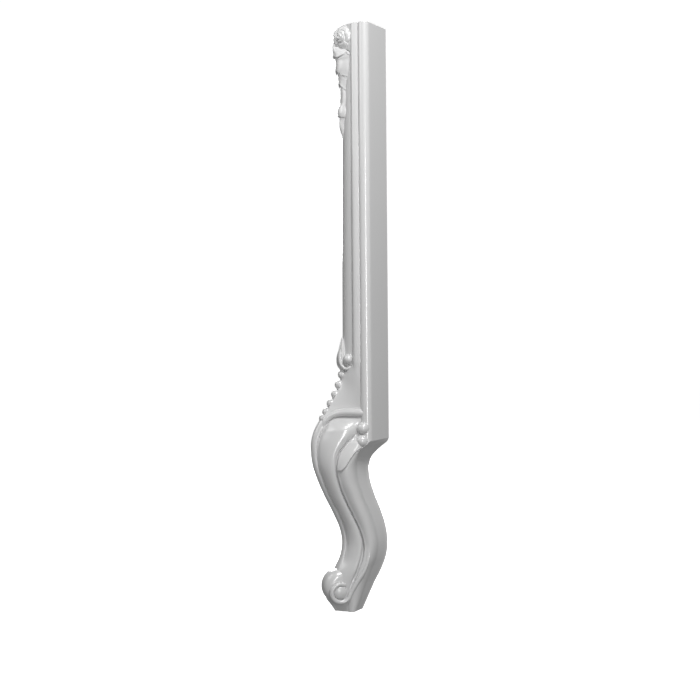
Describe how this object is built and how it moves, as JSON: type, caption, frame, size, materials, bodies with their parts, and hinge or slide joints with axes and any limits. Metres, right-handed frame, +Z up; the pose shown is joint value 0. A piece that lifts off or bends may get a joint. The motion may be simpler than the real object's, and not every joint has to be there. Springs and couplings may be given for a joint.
{
  "type": "vanity cabinet leg",
  "caption": "Tall carved corner leg for a vanity: square post with rounded reeded front corner, rose and husk carving, pearls, cabriole knee and scrolled toe; two plain faces meet the cabinet.",
  "frame": {"origin": "centre of the square sole, on the floor", "axes": "+Z up along the post; +X and +Y out of the two plain inner faces that meet the cabinet, so the carved corner points to -X -Y"},
  "size_m": [0.0884, 0.0884, 0.85],
  "materials": {
    "painted_wood": "satin paint, light grey white"
  },
  "bodies": {
    "root": {"carved_leg": "painted_wood"}
  },
  "joints": []
}
